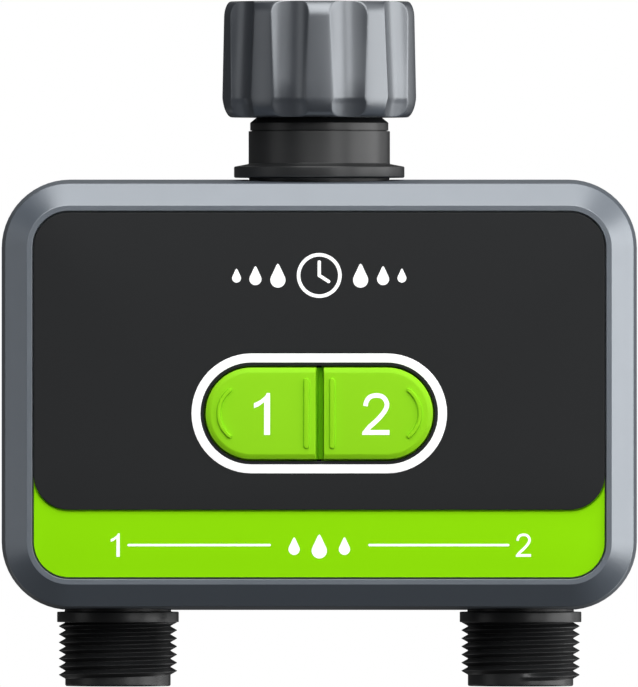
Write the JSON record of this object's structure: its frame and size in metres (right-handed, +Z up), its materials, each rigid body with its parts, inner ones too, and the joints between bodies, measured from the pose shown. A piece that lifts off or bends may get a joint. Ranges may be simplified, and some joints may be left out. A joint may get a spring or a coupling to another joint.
{
  "type": "drip irrigation timer",
  "caption": "Battery tap timer with a fluted swivel inlet nut on top, a rounded grey body with two green push buttons, and two threaded hose outlets below.",
  "frame": {"origin": "on the inlet axis, in the plane where the end of the tap meets the inlet washer", "axes": "+Z up out of the inlet, the button face looks along -Y, +X is the right-hand outlet as seen from the front"},
  "size_m": [0.142, 0.065, 0.153],
  "materials": {
    "housing_grey": "satin",
    "nut_grey": "satin",
    "panel_black": "gloss",
    "zone_green": "gloss",
    "button_green": "satin",
    "print_white": "gloss",
    "port_black": "satin",
    "cover_black": "matte",
    "moulding_white": "satin",
    "seal_rubber": "matte",
    "washer_rubber": "matte",
    "filter_steel": "satin",
    "screw_steel": "satin",
    "spring_steel": "polished",
    "yoke_steel": "satin",
    "magnet_nickel": "polished",
    "coil_copper": "satin",
    "board_green": "satin",
    "chip_black": "matte",
    "wire_red": "satin",
    "cell_wrap": "gloss"
  },
  "bodies": {
    "body": {"front_housing": "housing_grey", "rear_housing": "housing_grey", "housing_gasket": "seal_rubber", "housing_screws": "screw_steel", "zone_plate": "zone_green", "front_panel": "panel_black", "button_ring": "print_white", "keypad_seal": "seal_rubber", "keypad_clamp": "port_black", "keypad_screws": "screw_steel", "inlet_stem": "port_black", "stem_lock_ring": "port_black", "stem_o_ring": "seal_rubber", "manifold": "port_black", "manifold_o_rings": "seal_rubber", "valve_body_1": "port_black", "valve_body_2": "port_black", "diaphragm_1": "seal_rubber", "diaphragm_2": "seal_rubber", "disc_spring_1": "spring_steel", "disc_spring_2": "spring_steel", "bonnet_1": "port_black", "bonnet_2": "port_black", "bonnet_screws": "screw_steel", "plunger_spring_1": "spring_steel", "plunger_spring_2": "spring_steel", "pole_pieces": "yoke_steel", "latch_magnets": "magnet_nickel", "coil_bobbins": "moulding_white", "coil_windings": "coil_copper", "solenoid_frames": "yoke_steel", "circuit_board": "board_green", "radio_module": "magnet_nickel", "capacitors": "cell_wrap", "driver_chips": "chip_black", "wire_connectors": "moulding_white", "button_switches": "chip_black", "board_screws": "screw_steel", "coil_wires": "wire_red", "battery_wires": "wire_red", "batteries": "cell_wrap", "contact_springs": "spring_steel", "contact_plates": "magnet_nickel", "cover_gasket": "seal_rubber", "cover_hinge_pin": "screw_steel"},
    "nut": {"inlet_nut": "nut_grey"},
    "filter": {"inlet_washer": "washer_rubber", "filter_screen": "filter_steel"},
    "button_a": {"button_1": "button_green"},
    "button_b": {"button_2": "button_green"},
    "switch_a": {"switch_plunger_1": "chip_black"},
    "switch_b": {"switch_plunger_2": "chip_black"},
    "disc_a": {"valve_disc_1": "moulding_white"},
    "disc_b": {"valve_disc_2": "moulding_white"},
    "plunger_a": {"plunger_1": "yoke_steel"},
    "plunger_b": {"plunger_2": "yoke_steel"},
    "cover": {"battery_cover": "cover_black"}
  },
  "joints": [
    {"name": "nut_spin", "type": "hinge", "parent": "body", "child": "nut", "pos_m": [0, 0, 0], "axis": [0, 0, 1], "continuous": true},
    {"name": "filter_lift", "type": "slide", "parent": "body", "child": "filter", "axis": [0, 0, 1], "range_m": [0, 0.03]},
    {"name": "button_1_press", "type": "slide", "parent": "body", "child": "button_a", "axis": [0, 1, 0], "range_m": [0, 0.001], "stiffness_N_per_m": 1500, "springref_m": -0.0002, "deforming": ["keypad_seal"]},
    {"name": "button_2_press", "type": "slide", "parent": "body", "child": "button_b", "axis": [0, 1, 0], "range_m": [0, 0.001], "stiffness_N_per_m": 1500, "springref_m": -0.0002, "deforming": ["keypad_seal"]},
    {"name": "switch_1_travel", "type": "slide", "parent": "body", "child": "switch_a", "axis": [0, 1, 0], "range_m": [0, 0.0003], "deforming": ["keypad_seal"]},
    {"name": "switch_2_travel", "type": "slide", "parent": "body", "child": "switch_b", "axis": [0, 1, 0], "range_m": [0, 0.0003], "deforming": ["keypad_seal"]},
    {"name": "plunger_1_lift", "type": "slide", "parent": "body", "child": "plunger_a", "axis": [0, 0, 1], "range_m": [0, 0.003], "deforming": ["plunger_spring_1"]},
    {"name": "plunger_2_lift", "type": "slide", "parent": "body", "child": "plunger_b", "axis": [0, 0, 1], "range_m": [0, 0.003], "deforming": ["plunger_spring_2"]},
    {"name": "disc_1_lift", "type": "slide", "parent": "body", "child": "disc_a", "axis": [0, 0, 1], "range_m": [0, 0.0025], "deforming": ["disc_spring_1", "diaphragm_1"]},
    {"name": "disc_2_lift", "type": "slide", "parent": "body", "child": "disc_b", "axis": [0, 0, 1], "range_m": [0, 0.0025], "deforming": ["disc_spring_2", "diaphragm_2"]},
    {"name": "cover_hinge", "type": "hinge", "parent": "body", "child": "cover", "pos_m": [0, 0.0307, -0.0999], "axis": [-1, 0, 0], "range_deg": [0, 100]}
  ],
  "couplings": [
    {"joint": "switch_1_travel", "follows": "button_1_press", "ratio": 0.3},
    {"joint": "switch_2_travel", "follows": "button_2_press", "ratio": 0.3},
    {"joint": "disc_1_lift", "follows": "plunger_1_lift", "ratio": 0.8333},
    {"joint": "disc_2_lift", "follows": "plunger_2_lift", "ratio": 0.8333}
  ]
}
